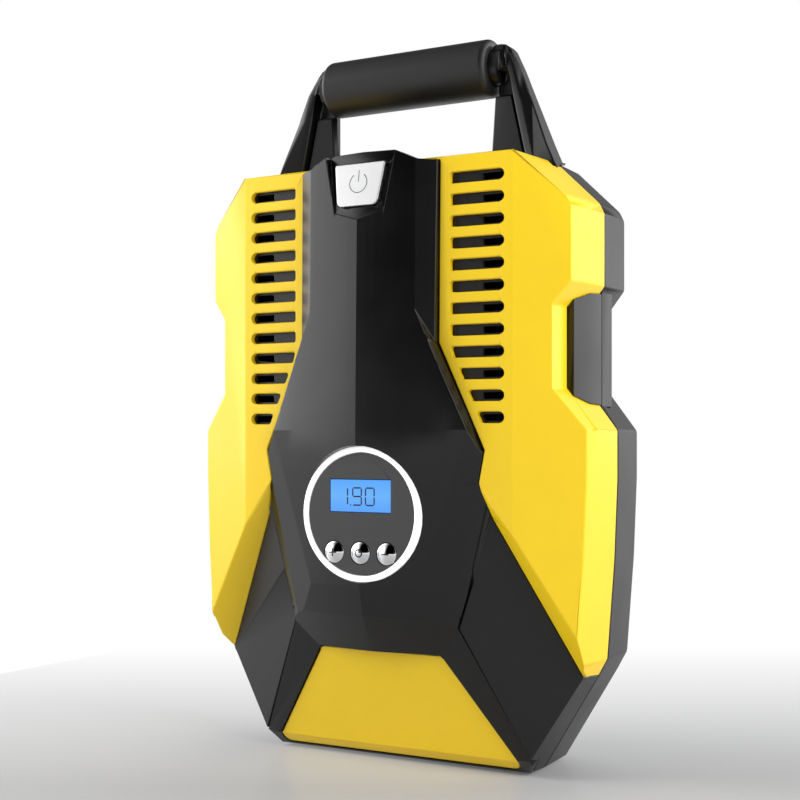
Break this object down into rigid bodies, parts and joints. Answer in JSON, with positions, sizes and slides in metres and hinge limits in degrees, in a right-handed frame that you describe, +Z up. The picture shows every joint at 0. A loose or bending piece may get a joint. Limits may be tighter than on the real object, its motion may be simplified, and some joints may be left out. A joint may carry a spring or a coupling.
{
  "type": "portable tyre inflator",
  "caption": "Upright portable digital tyre inflator with a carrying handle, vented side panels, a faceted fascia with a round dial and keys, and a hose compartment behind a rear door.",
  "frame": {"origin": "centre of the bounding box at the floor, under the feet", "axes": "+Z up along the height, -Y out of the front with the dial, +X to the right as seen from the front"},
  "size_m": [0.1798, 0.0796, 0.29],
  "materials": {
    "panel_yellow": "satin yellow moulded plastic",
    "case_black": "black moulded plastic with a soft sheen",
    "fascia_black": "semi-gloss black plastic",
    "dial_grey": "dark grey plastic",
    "ring_white": "white plastic ring",
    "lcd_blue": "blue backlit display window",
    "key_chrome": "polished chrome plating",
    "power_silver": "bright satin chrome plating",
    "grip_rubber": "smooth black rubber",
    "board_green": "green circuit board laminate",
    "steel": "machined steel",
    "nylon": "natural white nylon",
    "brass": "turned brass",
    "aluminium": "die-cast aluminium"
  },
  "bodies": {
    "case": {"front_shell": "case_black", "rear_shell": "case_black", "side_panel_left": "panel_yellow", "side_panel_right": "panel_yellow", "centre_cover": "fascia_black", "lower_inlay": "panel_yellow", "led_ring": "ring_white", "dial_plate": "dial_grey", "lcd_panel": "lcd_blue", "display_module": "dial_grey", "display_cup": "case_black", "display_board": "board_green", "power_switch": "dial_grey", "handle_frame": "case_black", "handle_trim_left": "case_black", "handle_trim_right": "case_black", "handle_grip": "grip_rubber", "motor": "steel", "pump_bracket": "aluminium", "gear_bushing": "brass", "cylinder": "aluminium", "cylinder_head": "aluminium", "control_board": "board_green", "pressure_sensor": "dial_grey", "door_hinge_pin": "steel", "hose_fitting": "brass", "cord_gland": "grip_rubber", "case_screw_1": "steel", "case_screw_2": "steel", "case_screw_3": "steel", "case_screw_4": "steel", "case_screw_5": "steel", "case_screw_6": "steel", "foot_1": "grip_rubber", "foot_2": "grip_rubber", "foot_3": "grip_rubber", "foot_4": "grip_rubber"},
    "power_key": {"power_button": "power_silver"},
    "plus_key": {"key_plus": "key_chrome"},
    "unit_key": {"key_unit": "key_chrome"},
    "minus_key": {"key_minus": "key_chrome"},
    "door": {"storage_door": "case_black"},
    "crank": {"crank_gear": "nylon", "crank_pin": "steel"},
    "rotor": {"motor_rotor": "steel", "cooling_fan": "nylon"},
    "rod": {"connecting_rod": "aluminium"},
    "piston": {"piston": "aluminium"}
  },
  "joints": [
    {"name": "power_press", "type": "slide", "parent": "case", "child": "power_key", "axis": [0, 1, 0], "range_m": [0, 0.0015], "stiffness_N_per_m": 900},
    {"name": "plus_press", "type": "slide", "parent": "case", "child": "plus_key", "axis": [0, 1, 0], "range_m": [0, 0.0008], "stiffness_N_per_m": 600},
    {"name": "unit_press", "type": "slide", "parent": "case", "child": "unit_key", "axis": [0, 1, 0], "range_m": [0, 0.0008], "stiffness_N_per_m": 600},
    {"name": "minus_press", "type": "slide", "parent": "case", "child": "minus_key", "axis": [0, 1, 0], "range_m": [0, 0.0008], "stiffness_N_per_m": 600},
    {"name": "door_hinge", "type": "hinge", "parent": "case", "child": "door", "pos_m": [0, 0.03759, 0.0206], "axis": [-1, 0, 0], "range_deg": [0, 100]},
    {"name": "crank_spin", "type": "hinge", "parent": "case", "child": "crank", "pos_m": [0, 0.00688, 0.15], "axis": [1, 0, 0], "continuous": true},
    {"name": "rotor_spin", "type": "hinge", "parent": "case", "child": "rotor", "pos_m": [0, 0.00688, 0.12], "axis": [1, 0, 0], "continuous": true},
    {"name": "rod_swing", "type": "hinge", "parent": "crank", "child": "rod", "pos_m": [0.0085, 0.00688, 0.154], "axis": [1, 0, 0], "continuous": true},
    {"name": "piston_stroke", "type": "slide", "parent": "case", "child": "piston", "axis": [0, 0, 1], "range_m": [-0.008, 0]}
  ],
  "couplings": [
    {"joint": "rotor_spin", "follows": "crank_spin", "ratio": -4},
    {"joint": "rod_swing", "follows": "crank_spin", "ratio": -1}
  ]
}
